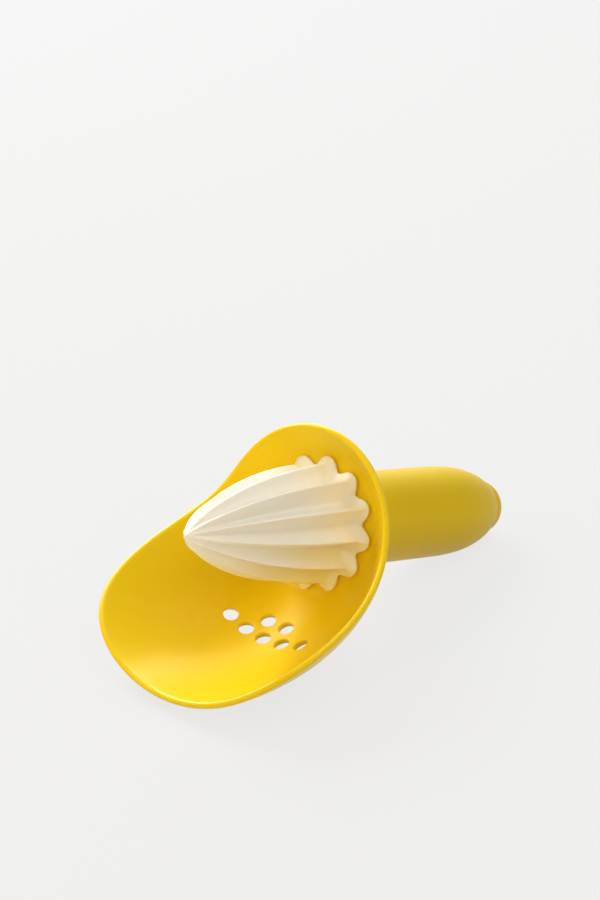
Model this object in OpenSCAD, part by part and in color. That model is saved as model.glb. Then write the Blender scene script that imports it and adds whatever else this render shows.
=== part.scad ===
// Hand citrus juicer: a fluted reamer stands in a bell-shaped scoop with drain
// holes, and a barrel handle is drawn up behind it by one long screw.
// The tool is modelled along its own axis and then laid down on a table.

/* [Reamer] */
// Length of the fluted reamer, from its back face to its tip
reamer_len = 66.5; // [56:0.5:76]
// Radius over the ribs, where they leave the flange
reamer_r = 20.6; // [18:0.1:22]
// Number of ribs round the reamer
rib_count = 12; // [8:1:14]
// Depth of a flute, as a share of the rib radius
flute_share = 0.2; // [0.1:0.01:0.26]
// Radius over the lobes of the scalloped flange at the back
lobe_r = 23.4; // [22:0.1:24.5]
// Depth of the notch between two lobes
notch_depth = 3.6; // [2:0.1:5]
// Thickness of the scalloped flange
lobe_t = 2.6; // [2:0.1:4]
// Wall between a flute and the hollow behind it
reamer_wall = 2.2; // [1.5:0.1:3]
// Radius of the boss that takes the screw
boss_r = 7.5; // [7.2:0.1:8]
// Width across the flats of the hexagonal spigot
spigot_af = 12; // [10:0.5:12]
// How far the spigot stops short of the sleeve's end
spigot_short = 2; // [0.5:0.5:6]

/* [Scoop] */
// Wall of the moulded scoop
scoop_wall = 2.3; // [1.8:0.1:3]
// Radius of the flat floor that the reamer stands on
floor_r = 24; // [23:0.5:26]
// Radius of the scoop's inside at the lip
lip_r = 53.2; // [46:0.1:60]
// Distance from the floor to where the bell would become a straight tube
bell_len = 80; // [70:1:90]
// Height of the collar's edge above the floor, on the side away from the lip
collar_h = 6.2; // [4:0.1:9]
// How much higher the collar's edge is halfway round
collar_sweep = 1.5; // [0:0.1:3]
// How far the lip reaches beyond the collar's edge
lip_reach = 54.4; // [45:0.1:60]
// Angle from the lip to the middle of each flank, where the edge climbs
flank_angle = 64.6; // [55:0.1:80]
// Angle over which the edge climbs along a flank
flank_width = 9.5; // [7:0.5:14]

/* [Drain] */
// Diameter of a drain hole
drain_d = 5.2; // [3:0.1:6]
// Distance between neighbouring drain holes
drain_pitch = 8.1; // [7:0.1:9]
// Distance of the front row from the floor, along the axis
drain_row_z = 16.8; // [12:0.1:24]
// Number of holes in the front row
drain_front = 5; // [3:2:7]
// Number of holes in the back row
drain_back = 2; // [2:2:4]

/* [Handle] */
// Radius of the handle where it is thickest
grip_max_r = 16.3; // [15.5:0.1:20]
// Radius of the handle where it meets the scoop
grip_front_r = 16.1; // [15:0.1:18]
// Distance of the thickest place behind the floor
belly_len = 62.5; // [45:0.5:68]
// Distance of the end cap's seam behind the floor
cap_seam = 93.8; // [88:0.1:108]
// How far behind the seam the barrel would close if it ran on
close_len = 6.9; // [6.5:0.1:12]
// Height of the rounded end cap behind its seam
cap_h = 6.7; // [5:0.1:9]
// Thickness of the soft skin over the core
skin_t = 2; // [1.5:0.1:2.5]

/* [Fit] */
// Radius of the sleeve that enters the handle
sleeve_r = 10.5; // [9.5:0.1:11]
// Length of the sleeve behind the floor
sleeve_len = 22; // [18:1:26]
// Width of each key on the sleeve
key_w = 3; // [2:0.1:4]
// How far a key stands out of the sleeve
key_h = 1.5; // [1:0.1:1.8]
// Radius of the end cap's plug
plug_r = 6.4; // [5:0.1:6.6]
// Radial clearance between pieces that slide together
slide_gap = 0.1; // [0.05:0.05:0.2]
// Thickness of the seal ring under the reamer
seal_t = 1; // [0.6:0.1:1.2]
// Width of the seal ring's section
seal_w = 2.5; // [1.5:0.1:3]

/* [Screw] */
// Diameter of the tie screw
screw_d = 4; // [3:0.5:5]
// Length of the tie screw under its head
screw_len = 44; // [36:1:48]
// Diameter of the screw's head
head_d = 8; // [7:0.5:9]
// Height of the screw's head
head_h = 2.6; // [2:0.1:3]
// Thickness of the washer
washer_t = 1; // [0.6:0.1:1.5]
// Diameter of the washer
washer_d = 10; // [9:0.5:11]
// Thickness of the bulkhead that the washer bears on
bulkhead_t = 4.5; // [3:0.5:6]

/* [Rest] */
// Depth of the flat on the scoop's underside
rest_depth = 0.4; // [0.2:0.1:0.6]

/* [Hidden] */

cream = [0.95, 0.92, 0.82];
yellow = [0.93, 0.76, 0.08];
soft_yellow = [0.88, 0.71, 0.12];
dull_yellow = [0.80, 0.64, 0.16];
steel = [0.75, 0.76, 0.78];
clear_grey = [0.82, 0.84, 0.84];

big = 200;              // larger than any piece
eps = 0.01;             // lets a cut run past the face it opens

// Points on a circle and steps along a curve
columns = 96;           // round the scoop
skin_steps = 13;        // along each skin of the scoop
edge_steps = 5;         // round the scoop's edge
rib_steps = 8;          // across one rib
rib_rows = 26;          // along the reamer
lobe_rows = 8;          // of these, along the flange and its cove
hollow_steps = 8;       // along the hollow behind the ribs
barrel_steps = 28;      // along the handle
cap_steps = 8;          // round the end cap
$fn = 96;

// Shares and exponents that set the curves
bell_near = 2.51;       // how soon the bell turns forward
bell_far = 0.774;       // how long it stays flared
ogive_far = 1.95;       // how full the reamer's middle is
ogive_near = 0.7;       // how blunt its tip is
taper_power = 2.35;     // how late the barrel closes
cap_power = 2.6;        // how square the end cap is
rib_power = 1.6;        // how sharp a rib is
lobe_far = 2.4;         // how full a lobe is
lobe_near = 2.2;        // how wide the notch beside it is
crowding = 1.6;         // packs the scoop's points towards the floor
row_crowding = 1.2;     // packs the reamer's rows towards its back

// Small sizes that follow from the moulding and the fit
cove_len = 1.8;         // length over which the ribs run out into the flange
foot_t = 3;             // floor of the hollow, round the reamer's spigot
core_hollow_r = 9;      // hollow of the core, behind the bulkhead
end_play = 0.5;         // clearance along the axis, behind a shoulder
tight_gap = 0.05;       // radial clearance of pieces held by each other
key_share = 0.7;        // length of a key, as a share of the sleeve's
seam_cut = 0.3;         // chamfer on both sides of the end cap's seam

// Points of a curve worked out by a rule

function mix(a, b, t) = a + (b - a) * t;

function ramp(t) = min(1, max(0, t));

function unit(v) = v / norm(v);

function around(z, r, a) = [r * cos(a), r * sin(a), z];

// Scoop: a bell round the axis, whose edge runs low at the collar and far
// forward at the lip. Angle 0 is the lip and 180 is the collar.

function bell_r(z) =
  mix(floor_r, lip_r, pow(1 - pow(1 - ramp(z / bell_len), bell_near), bell_far));

// Angle between the wall and the axis
function bell_lean(z) = atan(bell_r(z + 0.5) - bell_r(z - 0.5));

function edge_z(a) =
  collar_h + collar_sweep * (1 + cos(a))
  + lip_reach / (1 + exp((abs(a) - flank_angle) / flank_width));

function turned(a) = a > 180 ? a - 360 : a;

function bell_at(a, t) =
  let (z = edge_z(turned(a)) * pow(t, crowding))
  [z, bell_r(z)];

// Direction out through the wall, in the plane of the axis
function bell_out(a, t) =
  let (
    d = 0.001,
    p = bell_at(a, max(0, t - d)),
    q = bell_at(a, t + d)
  )
  t < d ? [-1, 0] : unit([p[1] - q[1], q[0] - p[0]]);

function skin_point(a, t, depth) =
  let (p = bell_at(a, t) + depth * bell_out(a, t))
  around(p[0], p[1], a);

// Round edge: half a circle from the inner skin to the outer one, square to
// the direction in which the edge runs
function edge_point(a, turn) =
  let (
    mid = skin_point(a, 1, scoop_wall / 2),
    run = unit(skin_point(a + 1, 1, scoop_wall / 2)
      - skin_point(a - 1, 1, scoop_wall / 2)),
    n = bell_out(a, 1),
    out = around(n[0], n[1], a),
    ahead = cross(out, run)
  )
  mid + scoop_wall / 2 * (ahead * sin(turn) - out * cos(turn));

function scoop_ring(k) =
  [for (i = [0 : columns - 1])
    let (a = 360 * i / columns)
    k <= skin_steps ? skin_point(a, k / skin_steps, 0)
      : k < skin_steps + edge_steps
        ? edge_point(a, 180 * (k - skin_steps) / edge_steps)
        : skin_point(
            a, (2 * skin_steps + edge_steps - k) / skin_steps, scoop_wall)];

// Closed skin through rings of equally many points, with a point at each end
module ring_solid(first, rings, last) {
  n = len(rings[0]);
  m = len(rings);
  points = concat([first], [for (ring = rings) for (p = ring) p], [last]);
  function at(k, i) = 1 + k * n + i % n;
  faces = concat(
    [for (i = [0 : n - 1]) [0, at(0, i + 1), at(0, i)]],
    [for (k = [0 : m - 2]) for (i = [0 : n - 1]) for (half = [0, 1])
      i < n / 2
        ? (half == 0
          ? [at(k, i), at(k, i + 1), at(k + 1, i + 1)]
          : [at(k, i), at(k + 1, i + 1), at(k + 1, i)])
        : (half == 0
          ? [at(k, i), at(k, i + 1), at(k + 1, i)]
          : [at(k, i + 1), at(k + 1, i + 1), at(k + 1, i)])],
    [for (i = [0 : n - 1]) [at(m - 1, i), at(m - 1, i + 1), n * m + 1]]
  );
  polyhedron(points, faces, convexity = 6);
}

// Reamer: an ogive with a rib crest on the symmetry plane. The sharp ribs run
// out into a scalloped flange, one round lobe to each rib.

function ogive_r(z) =
  reamer_r * pow(1 - pow(min(1, z / reamer_len), ogive_far), ogive_near);

function flute_r(z) = ogive_r(z) * (1 - flute_share);

// How much of the flange there is at z: 1 in the flange, and then less and less
function cove(z) = exp(-pow(max(0, z - lobe_t / 2) / cove_len, 1.5));

// How far the flange's round back edge draws in at z
function lobe_round(z) =
  let (h = lobe_t / 2, t = ramp(1 - z / h))
  h * (1 - sqrt(1 - t * t));

// u runs from 0 on a rib's crest to 1 in the middle of a flute
function reamer_point(z, a) =
  let (
    share = a * rib_count / 360,
    u = 2 * abs(share - round(share)),
    rib = mix(flute_r(z), ogive_r(z), pow(1 - u, rib_power)),
    bulge = pow(1 - pow(u, lobe_far), lobe_near),
    lobe = lobe_r - notch_depth * (1 - bulge) - lobe_round(z)
  )
  around(z, mix(rib, lobe, cove(z)), a);

// Rows are close together at the flange and at the tip
function reamer_row_z(k) =
  let (near = lobe_t + 2 * cove_len, t = (k - lobe_rows) / (rib_rows - lobe_rows))
  k < lobe_rows ? near * pow(k / lobe_rows, row_crowding)
    : mix(near, reamer_len, sin(90 * t));

// Handle: the barrel is thickest at belly_len and closes towards the cap.
// Its depth is measured backwards from the scoop's floor.

function barrel_r(depth) =
  depth < belly_len
    ? grip_max_r - (grip_max_r - grip_front_r)
      * pow((belly_len - depth) / (belly_len - scoop_wall), 2)
    : grip_max_r
      * sqrt(1 - pow((depth - belly_len) / (cap_seam + close_len - belly_len),
                     taper_power));

function barrel(from, to, inset) =
  [for (k = [0 : barrel_steps])
    let (depth = mix(from, to, k / barrel_steps))
    [barrel_r(depth) - inset, -depth]];

cap_r = barrel_r(cap_seam);
cap_front = cap_seam + seam_cut;    // depth where the cap's dome begins

function cap_curve() =
  [for (k = [0 : cap_steps])
    let (a = 90 * k / cap_steps)
    [cap_r * pow(cos(a), 2 / cap_power),
     -cap_front - (cap_seam + cap_h - cap_front) * pow(sin(a), 2 / cap_power)]];

function hex_r(af) = af / sqrt(3);

// Places along the axis, in front of the scoop's floor or behind it
floor_back = -scoop_wall;
root_z = -scoop_wall / 2;           // inside the floor, where added shapes begin
sleeve_back = -sleeve_len;
spigot_back = sleeve_back + spigot_short;
bulkhead_front = sleeve_back - end_play;
bulkhead_back = bulkhead_front - bulkhead_t;
head_seat = bulkhead_back - washer_t;
pilot_front = head_seat + screw_len + 4 * end_play;
cavity_len = 0.7 * reamer_len;      // depth of the hollow behind the ribs
core_back = cap_seam - 6;           // depth of the core's back end
neck_front = core_back - 7;         // depth where the core narrows for the plug
plug_front = core_back - 5;         // depth that the cap's plug reaches

// Places away from the axis
seal_in_r = hex_r(spigot_af) + 5 * slide_gap;
seal_out_r = seal_in_r + seal_w;
foot_r = seal_out_r + 6 * slide_gap;
screw_hole_r = screw_d / 2 + 2 * slide_gap;

// Laying the tool down: it is turned until the scoop's belly and the handle
// both meet the table, with the belly's flat cut to rest_depth.

belly_points =
  [for (t = [0.3 : 0.01 : 1])
    bell_at(0, t) + scoop_wall * bell_out(0, t)];
handle_points = concat(
  [for (p = barrel(scoop_wall, cap_seam - seam_cut, 0)) [p[1], p[0]]],
  [for (p = cap_curve()) [p[1], p[0]]]
);

function lowest(points, tilt) =
  min([for (p = points) p[0] * sin(tilt) - p[1] * cos(tilt)]);

function rest_error(tilt) =
  lowest(belly_points, tilt) + rest_depth - lowest(handle_points, tilt);

function find_tilt(low, high, left) =
  let (mid = (low + high) / 2)
  left == 0 ? mid
    : rest_error(mid) < 0 ? find_tilt(mid, high, left - 1)
      : find_tilt(low, mid, left - 1);

rest_tilt = find_tilt(4, 40, 40);
rest_lift = -lowest(handle_points, rest_tilt);
rest_forward = [for (p = belly_points)
  if (p[0] * sin(rest_tilt) - p[1] * cos(rest_tilt)
      < lowest(belly_points, rest_tilt) + eps / 10)
    p[1] * sin(rest_tilt) + p[0] * cos(rest_tilt)][0];

// From the tool's own axis to the table: lip forward along +X, origin at the
// middle of the flat under the scoop
module laid_down() {
  translate([-rest_forward, 0, rest_lift])
    rotate([0, 90 - rest_tilt, 0])
      children();
}

module disc_from(z_low, z_high, r) {
  translate([0, 0, z_low])
    cylinder(r = r, h = z_high - z_low);
}

module hex_from(z_low, z_high, af) {
  translate([0, 0, z_low])
    cylinder(r = hex_r(af), h = z_high - z_low, $fn = 6);
}

// Two keys on opposite sides of the sleeve
module keys(gap, z_low) {
  reach = sleeve_r + key_h + gap;
  width = key_w + 2 * gap;
  translate([-width / 2, -reach, z_low])
    cube([width, 2 * reach, root_z - z_low]);
}

// Drain holes lie in two rows, staggered as in a honeycomb, and each one runs
// square to the wall
module drain_holes() {
  row_step = drain_pitch * sin(60);
  back_z = drain_row_z - row_step * cos(bell_lean(drain_row_z));
  drain_row(drain_row_z, drain_front);
  drain_row(back_z, drain_back);
}

module drain_row(z, count) {
  r = bell_r(z);
  for (i = [0 : count - 1])
    rotate([0, 0, (i - (count - 1) / 2) * drain_pitch * 180 / (PI * r)])
      translate([r, 0, z])
        rotate([0, 90 + bell_lean(z), 0])
          translate([0, 0, -2 * scoop_wall])
            cylinder(d = drain_d, h = 5 * scoop_wall);
}

module reamer_head() {
  around_count = rib_count * rib_steps;
  rings = [for (k = [rib_rows - 1 : -1 : 0])
    [for (i = [0 : around_count - 1])
      reamer_point(reamer_row_z(k), 360 * i / around_count)]];
  color(cream)
    laid_down()
      difference() {
        union() {
          difference() {
            ring_solid([0, 0, reamer_len], rings, [0, 0, 0]);
            reamer_hollow();
          }
          hex_from(spigot_back, foot_t, spigot_af);
        }
        disc_from(spigot_back - eps, pilot_front, screw_d / 2 + tight_gap);
      }
}

// Ring-shaped hollow between the ribs' wall and the boss
module reamer_hollow() {
  rotate_extrude()
    polygon(concat(
      [[foot_r, -eps], [foot_r, foot_t],
       [boss_r, foot_t], [boss_r, cavity_len]],
      [for (k = [hollow_steps : -1 : 0])
        let (z = cavity_len * k / hollow_steps)
        [max(boss_r + end_play, flute_r(z) - reamer_wall), z == 0 ? -eps : z]]
    ));
}

module reamer_seal() {
  color(clear_grey)
    laid_down()
      translate([0, 0, -seal_t])
        difference() {
          cylinder(r = seal_out_r, h = seal_t);
          translate([0, 0, -eps])
            cylinder(r = seal_in_r, h = seal_t + 2 * eps);
        }
}

module scoop_bowl() {
  rings = [for (k = [0 : 2 * skin_steps + edge_steps]) scoop_ring(k)];
  color(yellow)
    difference() {
      laid_down()
        difference() {
          union() {
            ring_solid([0, 0, 0], rings, [0, 0, floor_back]);
            disc_from(sleeve_back, root_z, sleeve_r);
            keys(0, key_share * sleeve_back);
          }
          hex_from(sleeve_back - eps, 1, spigot_af + 2 * slide_gap);
          disc_from(-seal_t, 1, seal_out_r + slide_gap);
          drain_holes();
        }
      translate([-big, -big, -big])
        cube([2 * big, 2 * big, big]);
    }
}

module handle_core() {
  color(dull_yellow)
    laid_down()
      difference() {
        rotate_extrude()
          polygon(concat(
            [[0, floor_back]],
            barrel(scoop_wall, core_back, skin_t),
            [[0, -core_back]]
          ));
        disc_from(bulkhead_front, 1, sleeve_r + slide_gap);
        keys(slide_gap, bulkhead_front);
        disc_from(bulkhead_back - eps, bulkhead_front + eps, screw_hole_r);
        disc_from(-neck_front, bulkhead_back, core_hollow_r);
        disc_from(-core_back - eps, -neck_front + eps, plug_r + slide_gap);
      }
}

module handle_grip() {
  color(soft_yellow)
    laid_down()
      difference() {
        rotate_extrude()
          polygon(concat(
            [[0, floor_back]],
            barrel(scoop_wall, cap_seam - seam_cut, 0),
            [[cap_r - seam_cut, -cap_seam], [0, -cap_seam]]
          ));
        rotate_extrude()
          polygon(concat(
            [[0, 1], [grip_front_r - skin_t, 1]],
            barrel(scoop_wall, core_back, skin_t - tight_gap),
            [[0, -core_back]]
          ));
        disc_from(-cap_seam - eps, -core_back + eps, plug_r + 2 * slide_gap);
      }
}

module end_cap() {
  color(soft_yellow)
    laid_down()
      union() {
        rotate_extrude()
          polygon(concat(
            [[0, -cap_seam], [cap_r - seam_cut, -cap_seam]],
            cap_curve()
          ));
        disc_from(-cap_seam - cap_h / 2, -plug_front, plug_r);
      }
}

module tie_screw() {
  color(steel)
    laid_down()
      union() {
        disc_from(head_seat - head_h, head_seat, head_d / 2);
        disc_from(head_seat - eps, head_seat + screw_len, screw_d / 2);
      }
}

module screw_washer() {
  color(steel)
    laid_down()
      difference() {
        disc_from(head_seat, bulkhead_back, washer_d / 2);
        disc_from(head_seat - eps, bulkhead_back + eps, screw_hole_r);
      }
}

reamer_head();
reamer_seal();
scoop_bowl();
handle_core();
handle_grip();
end_cap();
tie_screw();
screw_washer();
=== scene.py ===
# %% [markdown]
# # Hand citrus juicer
# The tool is pressed and turned in half a lemon. Its reamer tears the fruit, the
# scoop catches the juice and strains it through seven holes, and the lip pours.
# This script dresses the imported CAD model: it replaces the pieces that show
# with finer ones in the same place, gives every piece a material, and sets up
# the photograph's camera and light.

import math

import bmesh
import bpy
import numpy as np
from mathutils import Matrix, Vector


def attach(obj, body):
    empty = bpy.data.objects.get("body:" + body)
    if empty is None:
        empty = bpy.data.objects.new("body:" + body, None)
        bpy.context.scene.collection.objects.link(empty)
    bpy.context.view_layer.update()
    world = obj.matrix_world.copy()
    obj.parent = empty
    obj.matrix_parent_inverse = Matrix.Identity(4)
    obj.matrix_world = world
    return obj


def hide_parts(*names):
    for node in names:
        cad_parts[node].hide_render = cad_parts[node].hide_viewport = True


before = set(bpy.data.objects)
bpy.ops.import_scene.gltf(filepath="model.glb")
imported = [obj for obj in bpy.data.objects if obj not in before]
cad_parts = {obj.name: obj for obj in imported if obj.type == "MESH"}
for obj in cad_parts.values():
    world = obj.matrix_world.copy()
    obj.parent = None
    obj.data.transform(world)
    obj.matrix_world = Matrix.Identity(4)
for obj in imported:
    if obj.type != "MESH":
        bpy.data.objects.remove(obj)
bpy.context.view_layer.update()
print("Packed nodes:", ", ".join(sorted(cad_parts)))

# %% [markdown]
# ## The tool's own axes
# Every shape is worked out in millimetres on the tool's own axes: x points down
# towards the lip's side, y across, and z along the axis from the scoop's floor
# towards the reamer's tip. The tool is then laid down on the table, where it
# rests on the scoop's belly and the end of the handle.

# %% From the tool's axes to the table
MM = 0.001
REST_TILT = math.radians(16.6914)
REST_PLACE = Vector((-48.1681, 0, 37.5568)) * MM
REST_TURN = (0, math.pi / 2 - REST_TILT, 0)
LAID_DOWN = (
    Matrix.Translation(REST_PLACE)
    @ Matrix.Rotation(REST_TURN[1], 4, "Y")
    @ Matrix.Scale(MM, 4)
)
print(f"The tool's axis leans {math.degrees(REST_TILT):.1f} degrees from the table")

# %% [markdown]
# ## Bodies from points
# Every piece starts as a list of points and faces. Points that coincide are
# merged, so that the skin is closed, and the faces are turned outward.

# %% Closed mesh objects
WELD = 0.0005 * MM


def make_object(name, points, faces):
    """A smooth mesh object from points on the tool's axes, in mm."""
    mesh = bpy.data.meshes.new(name)
    mesh.from_pydata([tuple(p) for p in points], [], faces)
    mesh.transform(LAID_DOWN)
    return finish_object(name, mesh)


def finish_object(name, mesh):
    """Merges doubles, turns the faces outward and shades them smooth."""
    work = bmesh.new()
    work.from_mesh(mesh)
    bmesh.ops.remove_doubles(work, verts=work.verts, dist=WELD)
    bmesh.ops.dissolve_degenerate(work, edges=work.edges, dist=WELD)
    bmesh.ops.recalc_face_normals(work, faces=work.faces)
    if work.calc_volume(signed=True) < 0:
        bmesh.ops.reverse_faces(work, faces=work.faces)
    work.to_mesh(mesh)
    work.free()
    mesh.shade_smooth()
    obj = bpy.data.objects.new(name, mesh)
    bpy.context.collection.objects.link(obj)
    return obj


def count(obj):
    """Prints how fine a piece is."""
    triangles = sum(len(face.vertices) - 2 for face in obj.data.polygons)
    print(f"{obj.name}: {triangles} triangles")


# %% [markdown]
# Round pieces are turned from a profile, as on a lathe. A straight body needs
# only its flat outline, and a freely shaped one is skinned from ring to ring.

# %% Bodies from rings and profiles
def ring_faces(rings, columns):
    """Quads between neighbouring rings, and a fan to a point at each end.
    Point 0 comes before the rings, and the last point after them."""
    faces = []
    last = 1 + rings * columns
    for i in range(columns):
        j = (i + 1) % columns
        faces.append((0, 1 + j, 1 + i))
        for k in range(rings - 1):
            a = 1 + k * columns
            faces.append((a + i, a + j, a + columns + j, a + columns + i))
        a = 1 + (rings - 1) * columns
        faces.append((a + i, a + j, last))
    return faces


def lathe(name, profile, columns):
    """A closed body turned from a profile of (radius, z) points. Profiles that
    start and end on the axis make a solid; others are closed into a ring."""
    angles = np.linspace(0, 2 * math.pi, columns, endpoint=False)
    points = [
        (r * math.cos(a), r * math.sin(a), z) for r, z in profile for a in angles
    ]
    rows = len(profile)
    on_axis = profile[0][0] == 0 and profile[-1][0] == 0
    faces = []
    for k in range(rows - 1 if on_axis else rows):
        a, b = k * columns, (k + 1) % rows * columns
        for i in range(columns):
            j = (i + 1) % columns
            faces.append((a + i, a + j, b + j, b + i))
    return make_object(name, points, faces)


def prism(name, outline, z_low, z_high):
    """A straight body on a flat outline of (x, y) points."""
    n = len(outline)
    points = [(x, y, z_low) for x, y in outline]
    points += [(x, y, z_high) for x, y in outline]
    faces = [tuple(range(n)), tuple(range(n, 2 * n))]
    faces += [(i, (i + 1) % n, n + (i + 1) % n, n + i) for i in range(n)]
    return make_object(name, points, faces)


# %% [markdown]
# A moulding has ribs, sleeves and holes in one piece. Booleans add and cut them.
# The Manifold solver is quick and exact where all bodies are closed.

# %% Adding and cutting
def boolean(obj, cutter, operation="DIFFERENCE"):
    """Cuts one object with another, or adds it, and removes that other."""
    modifier = obj.modifiers.new("Cut", "BOOLEAN")
    modifier.operation = operation
    modifier.object = cutter
    modifier.solver = "MANIFOLD"
    bake(obj)
    bpy.data.objects.remove(cutter)


def bake(obj):
    """Replaces an object's mesh by its evaluated one, without modifiers."""
    graph = bpy.context.evaluated_depsgraph_get()
    mesh = bpy.data.meshes.new_from_object(obj.evaluated_get(graph))
    obj.modifiers.clear()
    old, obj.data = obj.data, mesh
    if old.users == 0:
        bpy.data.meshes.remove(old)


# %% [markdown]
# ## Small node trees
# Geometry Nodes and materials both need many nodes. One helper adds a node of
# any kind and fills its inputs with constants or with other nodes' outputs.

# %% Adding a node
def add(tree, kind, values=None, **settings):
    """Adds a node. Values are constants or sockets for its inputs."""
    node = tree.nodes.new(kind)
    for name, value in settings.items():
        setattr(node, name, value)
    for name, value in (values or {}).items():
        if isinstance(value, Num):
            value = value.socket
        if isinstance(value, bpy.types.NodeSocket):
            tree.links.new(value, node.inputs[name])
        else:
            node.inputs[name].default_value = value
    return node


# %% [markdown]
# A formula of Math nodes is hard to read as a list of nodes. A small number
# class lets it be written as a formula: each sign in it becomes one Math node.

# %% Numbers in a node tree
class Num:
    """A number in a node tree, for writing formulas."""

    def __init__(self, tree, socket):
        self.tree = tree
        self.socket = socket

    def math(self, operation, *others):
        """One Math node on this number and the others."""
        values = dict(enumerate((self, *others)))
        node = add(self.tree, "ShaderNodeMath", values, operation=operation)
        return Num(self.tree, node.outputs[0])

    def __add__(self, other):
        return self.math("ADD", other)

    def __sub__(self, other):
        return self.math("SUBTRACT", other)

    def __rsub__(self, other):
        return self.math("MULTIPLY_ADD", -1, other)

    def __mul__(self, other):
        return self.math("MULTIPLY", other)

    def __truediv__(self, other):
        return self.math("DIVIDE", other)

    def __pow__(self, other):
        return self.math("POWER", other)

    __rmul__ = __mul__


def vector(tree, x, y, z):
    """A vector in a node tree, from three numbers."""
    return add(tree, "ShaderNodeCombineXYZ", {"X": x, "Y": y, "Z": z}).outputs[0]


# %% [markdown]
# A shape that follows a rule is a Geometry Nodes tree with named inputs. The
# tree runs once as a modifier, and its result becomes an ordinary mesh.

# %% Objects made by a node tree
def node_piece(name, inputs, build, made):
    """An object whose shape a Geometry Nodes tree makes from named inputs.
    The tree ends by laying the shape down, making it real and dressing it."""
    tree = bpy.data.node_groups.new(name, "GeometryNodeTree")
    for label in inputs:
        tree.interface.new_socket(label, in_out="INPUT", socket_type="NodeSocketFloat")
    tree.interface.new_socket(
        "Geometry", in_out="OUTPUT", socket_type="NodeSocketGeometry"
    )
    source = add(tree, "NodeGroupInput")
    numbers = {label: Num(tree, source.outputs[label]) for label in inputs}
    result = build(tree, numbers)
    laid = add(
        tree,
        "GeometryNodeTransform",
        {
            "Geometry": result,
            "Translation": REST_PLACE,
            "Rotation": REST_TURN,
            "Scale": (MM, MM, MM),
        },
    )
    real = add(tree, "GeometryNodeRealizeInstances", {"Geometry": laid.outputs[0]})
    dressed = add(
        tree,
        "GeometryNodeSetMaterial",
        {"Geometry": real.outputs[0], "Material": made},
    )
    add(tree, "NodeGroupOutput", {"Geometry": dressed.outputs[0]})

    obj = bpy.data.objects.new(name, bpy.data.meshes.new(name))
    bpy.context.collection.objects.link(obj)
    modifier = obj.modifiers.new(name, "NODES")
    modifier.node_group = tree
    for item in tree.interface.items_tree:
        if item.in_out == "INPUT":
            modifier[item.identifier] = float(inputs[item.name])
    bake(obj)
    return obj


# %% [markdown]
# ## Materials
# Each material is named for what the real piece is made of. Colours are given as
# they look on a screen and turned into linear light.

# %% Material helpers
def colour(code):
    """Linear colour from a six-figure sRGB code."""
    parts = [int(code[i : i + 2], 16) / 255 for i in (0, 2, 4)]
    linear = [
        p / 12.92 if p <= 0.04045 else ((p + 0.055) / 1.055) ** 2.4 for p in parts
    ]
    return (*linear, 1)


def material(name, **values):
    """A material with one Principled shader, and that shader's tree."""
    made = bpy.data.materials.new(name)
    made.use_nodes = True
    tree = made.node_tree
    tree.nodes.clear()
    sockets = {label.replace("_", " "): value for label, value in values.items()}
    shader = add(tree, "ShaderNodeBsdfPrincipled", sockets)
    add(tree, "ShaderNodeOutputMaterial", {"Surface": shader.outputs[0]})
    return made, tree, shader


# %% [markdown]
# A fine noise, sized in real millimetres, gives the grain that a mould leaves. A
# slower one lets the roughness drift, so that no highlight ends in a hard line.

# %% Grain and wear
GRAIN_DETAIL = 2
WEAR_DETAIL = 3
USUAL_LOW, USUAL_HIGH = 0.3, 0.7


def noise_of(tree, size_mm, detail):
    """Noise over the piece, with spots of about that size."""
    where = add(tree, "ShaderNodeTexCoord").outputs["Object"]
    values = {"Vector": where, "Scale": 1 / (size_mm * MM), "Detail": detail}
    return add(tree, "ShaderNodeTexNoise", values).outputs[0]


def grain(tree, shader, size_mm, height_mm):
    """Fine relief of a given size and height."""
    values = {
        "Height": noise_of(tree, size_mm, GRAIN_DETAIL),
        "Distance": height_mm * MM,
        "Strength": 1.0,
    }
    bump = add(tree, "ShaderNodeBump", values)
    tree.links.new(bump.outputs[0], shader.inputs["Normal"])


def wear(tree, shader, size_mm, low, high):
    """Roughness that drifts between two values. Most of a noise lies between
    the two usual values, so those are spread over the whole range."""
    values = {
        "Value": noise_of(tree, size_mm, WEAR_DETAIL),
        "From Min": USUAL_LOW,
        "From Max": USUAL_HIGH,
        "To Min": low,
        "To Max": high,
    }
    spread = add(tree, "ShaderNodeMapRange", values)
    tree.links.new(spread.outputs[0], shader.inputs["Roughness"])


# %% [markdown]
# The scoop is injection moulded in ABS. The plastic is saturated and the mould's
# finish gives it a soft, wide sheen. The sheen is tinted, because the scoop's
# hollow mostly mirrors its own yellow wall.

# %% Yellow ABS
abs_yellow, tree, shader = material(
    "Yellow ABS, moulded",
    Base_Color=colour("F2D000"),
    IOR=1.54,
    Specular_Tint=(1.0, 0.85, 0.3, 1.0),
)
grain(tree, shader, size_mm=0.25, height_mm=0.002)
wear(tree, shader, size_mm=6, low=0.29, high=0.32)

# %% [markdown]
# The reamer is moulded in polypropylene, which acids don't harm. It lets a little
# light through, so its thin ribs and lobes seem to glow. Scattering over about a
# millimetre under the surface gives that.

# %% Cream polypropylene
pp_cream, tree, shader = material(
    "Cream polypropylene, moulded",
    Base_Color=colour("FAF8F3"),
    IOR=1.49,
    Subsurface_Weight=0.35,
    Subsurface_Radius=(1.0, 0.7, 0.4),
    Subsurface_Scale=MM,
)
grain(tree, shader, size_mm=0.3, height_mm=0.002)
wear(tree, shader, size_mm=5, low=0.3, high=0.36)

# %% [markdown]
# The handle's skin is an elastomer moulded over the core, soft and satin so that
# a wet hand doesn't slip. The cap is ABS in the same colour, a little smoother.
# Both reflect less than the scoop does, and in their own colour.

# %% Yellow elastomer and the cap's ABS
SATIN = {"Specular_IOR_Level": 0.3, "Specular_Tint": (1.0, 0.85, 0.1, 1.0)}

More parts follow.
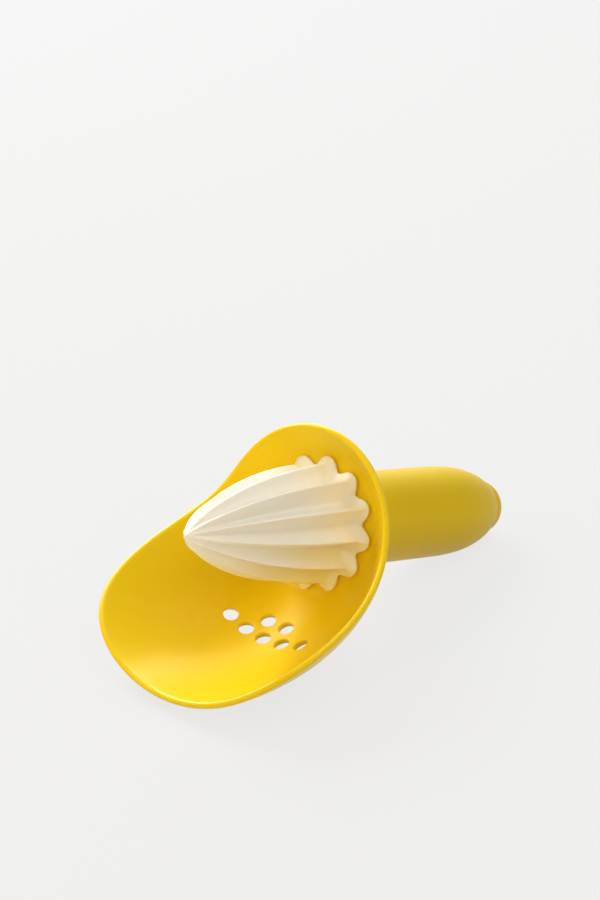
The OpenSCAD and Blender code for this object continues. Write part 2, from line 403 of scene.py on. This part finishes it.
tpe_yellow, tree, shader = material(
    "Yellow elastomer, overmoulded", Base_Color=colour("DFBE00"), IOR=1.5, **SATIN
)
grain(tree, shader, size_mm=0.2, height_mm=0.006)
wear(tree, shader, size_mm=4, low=0.4, high=0.48)

cap_yellow, tree, shader = material(
    "Yellow ABS, satin", Base_Color=colour("E2BC00"), IOR=1.54, **SATIN
)
grain(tree, shader, size_mm=0.2, height_mm=0.004)
wear(tree, shader, size_mm=4, low=0.36, high=0.42)

# %% [markdown]
# Four pieces lie inside. The seal is silicone, which lets some light through. The
# core is plain ABS whose surface nobody sees, so it is dull. Screw and washer are
# stainless steel, because juice would rust any other.

# %% Silicone, core plastic and steel
silicone, tree, shader = material(
    "Silicone, moulded",
    Base_Color=colour("DADDDC"),
    IOR=1.41,
    Transmission_Weight=0.3,
)
grain(tree, shader, size_mm=0.4, height_mm=0.004)
wear(tree, shader, size_mm=4, low=0.4, high=0.5)

core_abs, tree, shader = material(
    "Dull yellow ABS, as moulded", Base_Color=colour("CFAE3C"), IOR=1.54
)
grain(tree, shader, size_mm=0.3, height_mm=0.006)
wear(tree, shader, size_mm=6, low=0.5, high=0.6)

steel, tree, shader = material(
    "Stainless steel, turned", Base_Color=colour("C9CACC"), Metallic=1.0
)
grain(tree, shader, size_mm=0.15, height_mm=0.002)
wear(tree, shader, size_mm=3, low=0.28, high=0.36)
print("Materials:", ", ".join(sorted(made.name for made in bpy.data.materials)))

# %% [markdown]
# ## Scoop
# The scoop is injection moulded in yellow ABS. Its inside is a bell round the
# axis, drawn by one curve: two powers set how quickly it opens at the floor and
# how early it straightens. Rings that follow this curve make both skins.

# %% Shape of the bell
FLOOR_R = 24.0
LIP_R = 53.2
BELL_LEN = 80.0
BELL_NEAR = 2.51
BELL_FAR = 0.774
WALL = 2.3


def bell_radius(z):
    """Inside radius of the scoop at a height above its floor."""
    t = np.clip(z / BELL_LEN, 0, 1)
    return FLOOR_R + (LIP_R - FLOOR_R) * (1 - (1 - t) ** BELL_NEAR) ** BELL_FAR


print(f"The bell opens from a radius of {FLOOR_R} mm to {LIP_R} mm")

# %% [markdown]
# The edge follows a rule of the angle round the axis. It runs low behind the
# reamer, where it makes a collar, and climbs along two flanks to the lip. An
# S-shaped curve joins the two heights, with its middle at one angle from the lip.

# %% Rule of the scoop's edge
REAR_EDGE = 6.2
FRONT_RISE = 3.0
LIP_RISE = 54.4
FLANK_AT = 64.6
FLANK_SPREAD = 9.5


def edge_height(angle):
    """Height of the scoop's edge above its floor, from the lip at angle 0."""
    turned = (angle + 180) % 360 - 180
    climb = LIP_RISE / (1 + np.exp((abs(turned) - FLANK_AT) / FLANK_SPREAD))
    return REAR_EDGE + FRONT_RISE / 2 * (1 + np.cos(np.radians(angle))) + climb


def skin(angle, z, depth):
    """Points of the wall at that height and depth, one for each angle. On the
    floor itself, depth is measured straight down."""
    step = 0.001
    rise = bell_radius(z + step) - bell_radius(np.maximum(z - step, 0))
    run = z + step - np.maximum(z - step, 0)
    length = np.hypot(rise, run)
    out_z = np.where(z < step, -1, -rise / length)
    out_r = np.where(z < step, 0, run / length)
    r = bell_radius(z) + depth * out_r
    a = np.radians(angle)
    return np.stack([r * np.cos(a), r * np.sin(a), z + depth * out_z], 1)


# %% [markdown]
# A moulded edge is round: it feels soft and catches a thin line of light. Half a
# circle is swept along it, square to the direction in which the edge runs.

# %% Edge of the scoop
COLUMNS = 384
EDGE_STEPS = 12

angles = np.arange(COLUMNS) * 360 / COLUMNS
edge = edge_height(angles)
edge_mid = skin(angles, edge, WALL / 2)
run = skin(angles + 1, edge_height(angles + 1), WALL / 2)
run -= skin(angles - 1, edge_height(angles - 1), WALL / 2)
run /= np.linalg.norm(run, axis=1)[:, None]
edge_out = skin(angles, edge, 1) - skin(angles, edge, 0)
ahead = np.cross(edge_out, run)
edge_rings = [
    edge_mid + WALL / 2 * (ahead * math.sin(turn) - edge_out * math.cos(turn))
    for turn in np.linspace(0, math.pi, EDGE_STEPS + 1)[1:-1]
]
print(f"The edge runs {edge.min():.1f} to {edge.max():.1f} mm above the floor")

# %% [markdown]
# Where the bell meets its floor the corner is eased, as in a real mould, or a
# dark ring would run round the reamer's foot. A short curve leaves the floor
# level and arrives along the bell.

# %% Eased corner of the floor
CORNER_H = 1.5
CORNER_RUN = 2.2
CORNER_STEPS = 10
SLOPE_STEP = 0.01


def quadratic(t, start, middle, end):
    """A point on the curve that leaves start and reaches end aiming at middle."""
    return (1 - t) ** 2 * start + 2 * t * (1 - t) * middle + t * t * end


corner_end = float(bell_radius(CORNER_H))
slope = (float(bell_radius(CORNER_H + SLOPE_STEP)) - corner_end) / SLOPE_STEP
corner_mid = corner_end - CORNER_H * slope
corner_rings = []
a = np.radians(angles)
for t in np.linspace(0, 1, CORNER_STEPS):
    r = quadratic(t, corner_mid - CORNER_RUN, corner_mid, corner_end)
    z = np.full(COLUMNS, CORNER_H * t * t)
    corner_rings.append(np.stack([r * np.cos(a), r * np.sin(a), z], 1))
print(f"The corner reaches out to a radius of {corner_end:.1f} mm")

# %% [markdown]
# The rings of both skins stand closer together near the floor, where the bell
# bends most. What would lie under the table is lifted to its level: that is the
# small flat on which the scoop rests.

# %% Scoop's shell
SKIN_STEPS = 44
INNER_CROWD = 1.4
OUTER_CROWD = 1.6

inner_rings = [
    skin(angles, CORNER_H + (edge - CORNER_H) * t**INNER_CROWD, 0)
    for t in np.linspace(0, 1, SKIN_STEPS)[1:]
]
outer_rings = [
    skin(angles, edge * t**OUTER_CROWD, WALL) for t in np.linspace(1, 0, SKIN_STEPS)
]
shell_rings = corner_rings + inner_rings + edge_rings + outer_rings
shell_points = np.concatenate([[(0, 0, 0)], *shell_rings, [(0, 0, -WALL)]])
scoop = make_object("Scoop", shell_points, ring_faces(len(shell_rings), COLUMNS))

for vertex in scoop.data.vertices:
    vertex.co.z = max(vertex.co.z, 0)
print("Scoop's shell:", len(scoop.data.vertices), "points")

# %% [markdown]
# Behind its floor the scoop carries a sleeve that enters the handle, with two
# keys that stop it turning. All are part of the same moulding, so they are
# added to it and reach a little into its floor.

# %% Sleeve and keys
ROUND_COLUMNS = 96
SLEEVE_LEN = 22.0
SLEEVE_R = 10.5
SLEEVE_TOP = -1.0
KEY_HALF_W = 1.5
KEY_ROOT = 8.0
KEY_REACH = 12.0
KEY_LOW, KEY_HIGH = -15.4, -1.2

sleeve_profile = [
    (0, -SLEEVE_LEN),
    (SLEEVE_R, -SLEEVE_LEN),
    (SLEEVE_R, SLEEVE_TOP),
    (0, SLEEVE_TOP),
]
boolean(scoop, lathe("Sleeve", sleeve_profile, ROUND_COLUMNS), "UNION")
for side in (1, -1):
    outline = [
        (-KEY_HALF_W, side * KEY_ROOT),
        (KEY_HALF_W, side * KEY_ROOT),
        (KEY_HALF_W, side * KEY_REACH),
        (-KEY_HALF_W, side * KEY_REACH),
    ]
    boolean(scoop, prism("Key", outline, KEY_LOW, KEY_HIGH), "UNION")
count(scoop)

# %% [markdown]
# The reamer's hexagonal spigot passes through floor and sleeve, so that the
# reamer can't turn. A shallow recess in the floor takes the seal. Both are cut
# by bodies that reach past the surface, so that no thin film is left.

# %% Hexagonal hole and the seal's recess
CUT_PAST = 1.0
SPIGOT_HALF_W = 6.0
SPIGOT_GAP = 0.1
RECESS_R = 10.03
RECESS_DEPTH = 1.0


def hexagon(half_width):
    """Corners of a hexagon, from half its width across the flats."""
    corner = half_width / math.cos(math.pi / 6)
    turns = np.arange(6) * math.pi / 3
    return [(corner * math.cos(a), corner * math.sin(a)) for a in turns]


hole_outline = hexagon(SPIGOT_HALF_W + SPIGOT_GAP)
boolean(scoop, prism("Hexagon", hole_outline, -SLEEVE_LEN - CUT_PAST, CUT_PAST))
recess_profile = [
    (0, -RECESS_DEPTH),
    (RECESS_R, -RECESS_DEPTH),
    (RECESS_R, CUT_PAST),
    (0, CUT_PAST),
]
boolean(scoop, lathe("Recess", recess_profile, ROUND_COLUMNS))
count(scoop)

# %% [markdown]
# ## Drain holes
# Seven holes in two staggered rows strain the juice. Pins in the mould leave
# them, square to the wall and a little wider outside, so that the pins pull out.
# Their rims are rounded. One cutter has the shape of such a hole and of the air
# on both sides of the wall.

# %% Cutter with rounded rims
HOLE_COLUMNS = 64
HOLE_R = 2.6
RIM = 0.4
RIM_STEPS = 6
DRAFT = 0.5
CLEAR = 3.0

turns = np.linspace(math.pi / 2, 0, RIM_STEPS + 1)
rim = [(RIM - RIM * math.sin(t), RIM - RIM * math.cos(t)) for t in turns]
near_rim = [(HOLE_R + r, z) for r, z in reversed(rim)]
far_rim = [(HOLE_R + DRAFT + r, WALL - z) for r, z in rim]
cutter_profile = [
    (0, -CLEAR),
    (HOLE_R + RIM, -CLEAR),
    *near_rim,
    *far_rim,
    (HOLE_R + DRAFT + RIM, WALL + CLEAR),
    (0, WALL + CLEAR),
]
cutter = lathe("Hole cutter", cutter_profile, HOLE_COLUMNS)
cutter.data.transform(LAID_DOWN.inverted())
print(f"Holes: {2 * HOLE_R:.1f} mm wide inside, {2 * (HOLE_R + DRAFT):.1f} mm outside")

# %% [markdown]
# A rule keeps the holes' pitch even on a curved wall. It counts through the
# places, gives the first ones to the front row and the rest to the back row, and
# turns each count into an angle and a height.

# %% Places of the holes
def node_radius(z):
    """The bell's radius in a node tree, by the same curve as bell_radius."""
    t = (z / BELL_LEN).math("MINIMUM", 1)
    return (1 - (1 - t) ** BELL_NEAR) ** BELL_FAR * (LIP_R - FLOOR_R) + FLOOR_R


def lean(z):
    """How far the wall leans out at that height, over 1 mm of it."""
    return (node_radius(z + 0.5) - node_radius(z - 0.5)).math("ARCTANGENT")


def hole_place(tree, n):
    """Angle and height of each hole in two staggered rows."""
    index = Num(tree, add(tree, "GeometryNodeInputIndex").outputs[0])
    in_back = index.math("GREATER_THAN", n["Front row"] - 0.5)
    place = index - in_back * n["Front row"]
    in_row = n["Front row"] + in_back * (n["Back row"] - n["Front row"])
    row_step = n["Pitch"] * math.sin(math.pi / 3)
    z = n["Row height"] - in_back * row_step * lean(n["Row height"]).math("COSINE")
    angle = (place - (in_row - 1) * 0.5) * n["Pitch"] / node_radius(z)
    return angle, z


# %% [markdown]
# The tree puts a point on each place and one cutter on each point, turned square
# to the wall.

# %% Drain holes by rule
def build_holes(tree, n):
    """One cutter on each place."""
    angle, z = hole_place(tree, n)
    r = node_radius(z)
    spots = add(
        tree,
        "GeometryNodePoints",
        {
            "Count": n["Front row"] + n["Back row"],
            "Position": vector(tree, r * angle.math("COSINE"), r * angle.math("SINE"), z),
        },
    )
    shape = add(tree, "GeometryNodeObjectInfo", {"Object": cutter})
    holes = add(
        tree,
        "GeometryNodeInstanceOnPoints",
        {
            "Points": spots.outputs[0],
            "Instance": shape.outputs["Geometry"],
            "Rotation": vector(tree, 0.0, lean(z) + math.pi / 2, angle),
        },
    )
    return holes.outputs[0]


# %% [markdown]
# The holes are cut last. Edges that turn by more than 40 degrees are then shaded
# sharp, so that only real corners show as such.

# %% Holes cut through the wall
SCOOP_SHARP = math.radians(40)
hole_sizes = {"Front row": 5, "Back row": 2, "Pitch": 8.1, "Row height": 16.8}
holes = node_piece("Drain holes", hole_sizes, build_holes, abs_yellow)
count(holes)
bpy.data.objects.remove(cutter)
boolean(scoop, holes)
scoop.data.set_sharp_from_angle(angle=SCOOP_SHARP)
count(scoop)

# %% [markdown]
# ## Reamer
# The reamer is a separate moulding in cream plastic. Its outline is an ogive
# with twelve ribs: sharp crests with wide smooth flutes between them. The flutes
# run out just before the tip, which would otherwise end in a needle. All numbers
# are powers or shares that bend one curve.

# %% Ribs of the reamer
OGIVE_NEAR = 1.95
OGIVE_FAR = 0.7
CREST_ROUND = 0.04
CREST_POWER = 1.6
RUN_OUT = 20


def rib_radius(n, height, half):
    """Radius of ribs and flutes. Half is 0 on a crest and 1 in a flute."""
    u = (half * half + CREST_ROUND**2).math("SQRT") - CREST_ROUND
    u = u / (math.hypot(1, CREST_ROUND) - CREST_ROUND)
    span = (height / n["Length"]).math("MINIMUM", 1)
    ogive = (1 - span**OGIVE_NEAR).math("MAXIMUM", 0) ** OGIVE_FAR
    crest = n["Rib radius"] * ogive
    flute = crest * (1 - n["Flute share"] * (1 - span**RUN_OUT))
    return flute + (crest - flute) * (1 - u).math("MAXIMUM", 0) ** CREST_POWER


# %% [markdown]
# At the back each rib ends in one round lobe of a flange, on which the reamer
# stands in the scoop. Beyond the flange a cove leads into the ribs: it is a
# blend that fades with the height, so no edge is left between the two shapes.

# %% Flange of the reamer
LOBE_SHAPE = 2.4
LOBE_POWER = 2.2
COVE_POWER = 1.5


def lobe_radius(n, height, half):
    """Radius of the flange, whose rear edge is rounded off."""
    bulge = (1 - half**LOBE_SHAPE).math("MAXIMUM", 0) ** LOBE_POWER
    thick = n["Flange"] / 2
    off = (1 - height / thick).math("MAXIMUM", 0)
    fall = (1 - (1 - off * off).math("SQRT")) * thick
    return n["Lobe radius"] - (1 - bulge) * n["Notch"] - fall


def flange_share(n, height):
    """1 up to half the flange's height, and falling to 0 beyond the cove."""
    beyond = (height - n["Flange"] / 2).math("MAXIMUM", 0) / n["Cove"]
    return (beyond**COVE_POWER * -1).math("EXPONENT")


# %% [markdown]
# The tree bends a flat grid round the axis and sets each point's radius by these
# formulas, so all twelve ribs are alike. The first rows make the flat back, the
# next ones the flange and its cove, and the rest the ogive.

# %% Reamer by rule
RIBS = 12
RIB_STEPS = 32
REAMER_ROWS = 150
BACK_ROWS = 0.05
FOOT_ROWS = 0.45


def ramp(value, low, high):
    """0 below low, 1 above high, and a straight rise between."""
    rise = (value - low) / (high - low)
    return rise.math("MAXIMUM", 0).math("MINIMUM", 1)


def build_reamer(tree, n):
    """A grid bent round the axis, with a radius for each point."""
    vertices = {"Vertices X": RIBS * RIB_STEPS + 1, "Vertices Y": REAMER_ROWS}
    grid = add(
        tree, "GeometryNodeMeshGrid", {"Size X": 1.0, "Size Y": 1.0, **vertices}
    )
    where = add(tree, "GeometryNodeInputPosition").outputs[0]
    place = add(tree, "ShaderNodeSeparateXYZ", {"Vector": where})
    across = Num(tree, place.outputs["X"]) + 0.5
    along = Num(tree, place.outputs["Y"]) + 0.5

    back = ramp(along, 0, BACK_ROWS)
    foot = ramp(along, BACK_ROWS, FOOT_ROWS)
    body = ramp(along, FOOT_ROWS, 1)
    near = n["Flange"] + 2 * n["Cove"]
    height = near * foot + (n["Length"] - near) * (body * math.pi / 2).math("SINE")

    share = across * RIBS
    half = (share - share.math("ROUND")).math("ABSOLUTE") * 2
    rib = rib_radius(n, height, half)
    lobe = lobe_radius(n, height, half)
    radius = (rib + (lobe - rib) * flange_share(n, height)) * back
    angle = across * (2 * math.pi)
    bent = vector(tree, radius * angle.math("COSINE"), radius * angle.math("SINE"), height)
    placed = add(
        tree,
        "GeometryNodeSetPosition",
        {"Geometry": grid.outputs["Mesh"], "Position": bent},
    )
    return placed.outputs[0]


# %% [markdown]
# The tree runs once with the reamer's sizes in mm. Its points are merged where
# the grid meets itself, and the hexagonal spigot is added behind.

# %% Reamer and its spigot
SPIGOT_LEN = 20
SPIGOT_ROOT = 3

reamer_sizes = {
    "Length": 66.5,
    "Rib radius": 20.6,
    "Flute share": 0.28,
    "Lobe radius": 23.4,
    "Notch": 3.6,
    "Flange": 2.6,
    "Cove": 1.8,
}
raw = node_piece("Reamer raw", reamer_sizes, build_reamer, pp_cream)
reamer = finish_object("Reamer", raw.data.copy())
bpy.data.objects.remove(raw)
spigot = prism("Spigot", hexagon(SPIGOT_HALF_W), -SPIGOT_LEN, SPIGOT_ROOT)
boolean(reamer, spigot, "UNION")
count(reamer)

# %% [markdown]
# ## Handle
# The handle is a stiff core with a soft skin moulded over it, and a small cap
# closes its end. It is thickest at the belly, from where one curve closes it
# towards the back and another draws it in a little towards the scoop.

# %% Barrel of the handle
GRIP_MAX_R = 16.3
GRIP_FRONT_R = 16.1
BELLY_LEN = 62.5
CAP_SEAM = 93.8
CLOSE_LEN = 6.9
TAPER = 2.35


def barrel_radius(depth):
    """Radius of the handle at a depth behind the scoop's floor."""
    if depth < BELLY_LEN:
        front = (BELLY_LEN - depth) / (BELLY_LEN - WALL)
        return GRIP_MAX_R - (GRIP_MAX_R - GRIP_FRONT_R) * front**2
    back = min((depth - BELLY_LEN) / (CAP_SEAM + CLOSE_LEN - BELLY_LEN), 1)
    return GRIP_MAX_R * math.sqrt(1 - back**TAPER)


seam_r = barrel_radius(CAP_SEAM)
print(f"The barrel is {2 * GRIP_MAX_R:.1f} mm thick, and {2 * seam_r:.1f} mm at the cap")

# %% [markdown]
# Where cap and skin meet, both edges are a little rounded, and that makes the
# fine groove that the photograph shows. The skin's front edge is rounded alike.

# %% Rounded corners
SEAM_ROUND = 0.35
SEAM_STEPS = 5
HANDLE_SHARP = math.radians(50)


def rounded(profile, corner):
    """The profile with one corner replaced by a short curve."""
    before, point, after = (np.array(profile[corner + k], float) for k in (-1, 0, 1))
    start = point + (before - point) / np.linalg.norm(before - point) * SEAM_ROUND
    end = point + (after - point) / np.linalg.norm(after - point) * SEAM_ROUND
    curve = [
        tuple(quadratic(t, start, point, end))
        for t in np.linspace(0, 1, SEAM_STEPS + 1)
    ]
    return profile[:corner] + curve + profile[corner + 1 :]


# %% [markdown]
# The skin is a tube. Its profile runs back along the barrel, turns in at the
# seam, passes the cap's plug and comes forward again over the core. The outside
# leaves room at both ends for the rounded corners.

# %% Soft skin
GRIP_COLUMNS = 256
OUTSIDE_ROWS = 90
INSIDE_ROWS = 60
SKIN_T = 2.0
TIGHT_GAP = 0.05
CORNER_ROOM = 0.6
PLUG_R = 6.4
PLUG_GAP = 0.2
CORE_BACK = 87.8

outer_depths = np.linspace(WALL + CORNER_ROOM, CAP_SEAM - CORNER_ROOM, OUTSIDE_ROWS)
outside = [(barrel_radius(d), -d) for d in outer_depths]
inner_depths = np.linspace(CORE_BACK, WALL, INSIDE_ROWS)
inside = [(barrel_radius(d) - SKIN_T + TIGHT_GAP, -d) for d in inner_depths]
grip_profile = (
    [inside[-1], (barrel_radius(WALL), -WALL)]
    + outside
    + [(seam_r, -CAP_SEAM), (PLUG_R + PLUG_GAP, -CAP_SEAM)]
    + [(PLUG_R + PLUG_GAP, -CORE_BACK)]
    + inside[:-1]
)
grip_profile = rounded(grip_profile, 2 + len(outside))
grip_profile = rounded(grip_profile, 1)
grip = lathe("Soft_skin", grip_profile, GRIP_COLUMNS)
grip.data.set_sharp_from_angle(angle=HANDLE_SHARP)
count(grip)

# %% [markdown]
# The cap is a separate moulding whose plug is pressed into the core after the
# screw is in. Its dome is turned from a curve between a circle and a square.

# %% End cap
CAP_COLUMNS = 192
DOME_ROWS = 30
CAP_H = 6.7
CAP_POWER = 2.6
PLUG_LEN = 11

turns = np.linspace(0, math.pi / 2, DOME_ROWS)
dome = [
    (
        seam_r * max(math.cos(a), 0) ** (2 / CAP_POWER),
        -CAP_SEAM - CAP_H * math.sin(a) ** (2 / CAP_POWER),
    )
    for a in turns
]
dome[-1] = (0, dome[-1][1])
plug_end = PLUG_LEN - CAP_SEAM
cap_profile = [(0, plug_end), (PLUG_R, plug_end), (PLUG_R, -CAP_SEAM)] + dome
cap = lathe("Cap", rounded(cap_profile, 3), CAP_COLUMNS)
cap.data.set_sharp_from_angle(angle=HANDLE_SHARP)
count(cap)

# %% [markdown]
# ## Pieces into the frame
# Four pieces show, and their finer bodies take the place of the imported ones.
# Each row gives a piece, the imported node that it stands for, a slot name and
# the material. Each piece is tied to the part's one body; its node is hidden.
# The other four lie inside: they keep their imported shape and only get a material.

# %% Pieces into the frame
dressed = [
    (scoop, "scoop_bowl", "scoop_plastic", abs_yellow),
    (reamer, "reamer_head", "reamer_plastic", pp_cream),
    (grip, "handle_grip", "soft_skin", tpe_yellow),
    (cap, "end_cap", "cap_plastic", cap_yellow),
]
for piece, node, slot, made in dressed:
    piece.data.materials.clear()
    piece.data.materials.append(made)
    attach(piece, "root")
    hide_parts(node)
    print(piece.name, "replaces", node)

for node, made in (
    ("reamer_seal", silicone),
    ("handle_core", core_abs),
    ("tie_screw", steel),
    ("screw_washer", steel),
):
    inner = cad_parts[node]
    inner.data.materials.clear()
    inner.data.materials.append(made)
    print(node, "keeps its packed shape, in", made.name)

# %% [markdown]
# ## Camera
# The photograph was taken from the lip's side and from above, with a long lens.
# The camera's place and turn were fitted to the outlines of scoop, reamer and
# handle, and are given on the tool's own axes.

# %% Camera
SENSOR_W = 36
LENS = 86.18
CAMERA_PLACE = Vector((-172.72, 425.79, 567.33))
CAMERA_RIGHT = Vector((-0.19549, 0.74942, -0.63258))
CAMERA_UP = Vector((-0.95882, -0.28156, -0.03725))

camera = bpy.data.objects.new("Camera", bpy.data.cameras.new("Camera"))
bpy.context.collection.objects.link(camera)
bpy.context.scene.camera = camera
camera.data.sensor_width = SENSOR_W
camera.data.lens = LENS
camera.data.clip_start = 0.01
camera.data.clip_end = 20
axes = (CAMERA_RIGHT, CAMERA_UP, CAMERA_RIGHT.cross(CAMERA_UP))
place = Matrix(axes).transposed().to_4x4()
place.translation = CAMERA_PLACE
camera.matrix_world = LAID_DOWN @ place @ Matrix.Scale(1 / MM, 4)
print(f"The camera stands {camera.matrix_world.translation.length:.2f} m away")

# %% [markdown]
# ## Floor and light
# The photograph was cut out and stands on an even pale grey. Floor and world
# have that tone for every ray that looks at them, from the camera, off a shiny
# surface or through a clear one, but don't light the object with it.

# %% Rays that look at the background
BACKDROP = colour("F0F0F0")


def looked_at(tree):
    """1 where a ray shows the background, also in a mirror or through glass."""
    rays = add(tree, "ShaderNodeLightPath").outputs
    direct = Num(tree, rays["Is Camera Ray"]) + rays["Is Glossy Ray"]
    return (direct + rays["Is Transmission Ray"]).math("MINIMUM", 1)


# %% [markdown]
# A floor that only glowed would take no shadow. So it mixes the tone with a matt
# grey of its own: the larger the tone's share, the paler the shadow.

# %% Floor
FLOOR_HALF = 6
GROUND = (0.7, 0.7, 0.7, 1)
TONE_SHARE = 0.88

floor_mesh = bpy.data.meshes.new("Floor")
signs = ((-1, -1), (1, -1), (1, 1), (-1, 1))
corners = [(x * FLOOR_HALF, y * FLOOR_HALF, 0) for x, y in signs]
floor_mesh.from_pydata(corners, [], [(0, 1, 2, 3)])
floor = bpy.data.objects.new("Floor", floor_mesh)
bpy.context.collection.objects.link(floor)
floor_material, tree, shader = material(
    "Pale ground, matt", Base_Color=GROUND, Roughness=0.9
)
pale = add(tree, "ShaderNodeEmission", {"Color": BACKDROP, "Strength": 1.0})
seen = add(
    tree,
    "ShaderNodeMixShader",
    {0: looked_at(tree) * TONE_SHARE, 1: shader.outputs[0], 2: pale.outputs[0]},
)
tree.links.new(seen.outputs[0], tree.nodes["Material Output"].inputs["Surface"])
floor_mesh.materials.append(floor_material)
print(f"The floor shows {TONE_SHARE:.0%} of the backdrop's tone to the camera")

# %% [markdown]
# Seen from the camera, three white softboxes stand behind the tool and above it.
# They light the reamer's upper left and make the broad highlight on the lip. Two
# gold reflectors stand on the camera's side, one to its left and one to its
# right: they keep the yellow warm in its shade. All are large, for soft shadows.

# %% Softboxes
TARGET = Vector((0, 0, 0.035))
DISTANCE = 1.6
WHITE = (1.0, 1.0, 1.0)
GOLD = (1.0, 0.79, 0.4)


def softbox(name, azimuth, elevation, size, power, tint):
    """A lamp that shines on the object. Azimuth is turned from the x axis
    towards y, elevation is raised from the table, both in degrees."""
    lamp = bpy.data.lights.new(name, "AREA")
    lamp.color = tint
    lamp.shape = "RECTANGLE"
    lamp.size, lamp.size_y = size
    lamp.energy = power
    obj = bpy.data.objects.new(name, lamp)
    bpy.context.collection.objects.link(obj)
    a, e = math.radians(azimuth), math.radians(elevation)
    aim = Vector((math.cos(a) * math.cos(e), math.sin(a) * math.cos(e), math.sin(e)))
    obj.location = TARGET + aim * DISTANCE
    obj.rotation_euler = aim.to_track_quat("Z", "Y").to_euler()
    obj.visible_camera = False
    print(f"{name}: {power} W from {azimuth} degrees, {elevation} up")


softbox("Back left", azimuth=266, elevation=40, size=(1.0, 0.8), power=17, tint=WHITE)
softbox("Back", azimuth=230, elevation=32, size=(1.4, 0.8), power=15, tint=WHITE)
softbox("Top", azimuth=118, elevation=68, size=(1.6, 1.2), power=10.5, tint=WHITE)
softbox("Left, gold", azimuth=343, elevation=26, size=(1.0, 0.8), power=9.5, tint=GOLD)
softbox("Right, gold", azimuth=68, elevation=33, size=(1.4, 0.8), power=7.5, tint=GOLD)

# %% [markdown]
# The world is almost dark to the object, so that its shade keeps its depth, and
# has the backdrop's tone wherever it is looked at.

# %% World
FILL = 0.02

world = bpy.data.worlds.new("Studio")
bpy.context.scene.world = world
world.use_nodes = True
tree = world.node_tree
tree.nodes.clear()
fill = add(tree, "ShaderNodeBackground", {"Color": (1, 1, 1, 1), "Strength": FILL})
seen = add(tree, "ShaderNodeBackground", {"Color": BACKDROP, "Strength": 1.0})
choice = add(
    tree,
    "ShaderNodeMixShader",
    {0: looked_at(tree), 1: fill.outputs[0], 2: seen.outputs[0]},
)
add(tree, "ShaderNodeOutputWorld", {"Surface": choice.outputs[0]})
print(f"The world lights the object with a strength of {FILL}")

# %% [markdown]
# ## Finish
# Colours are shown as they are.

# %% Finish
bpy.context.scene.view_settings.view_transform = "Standard"
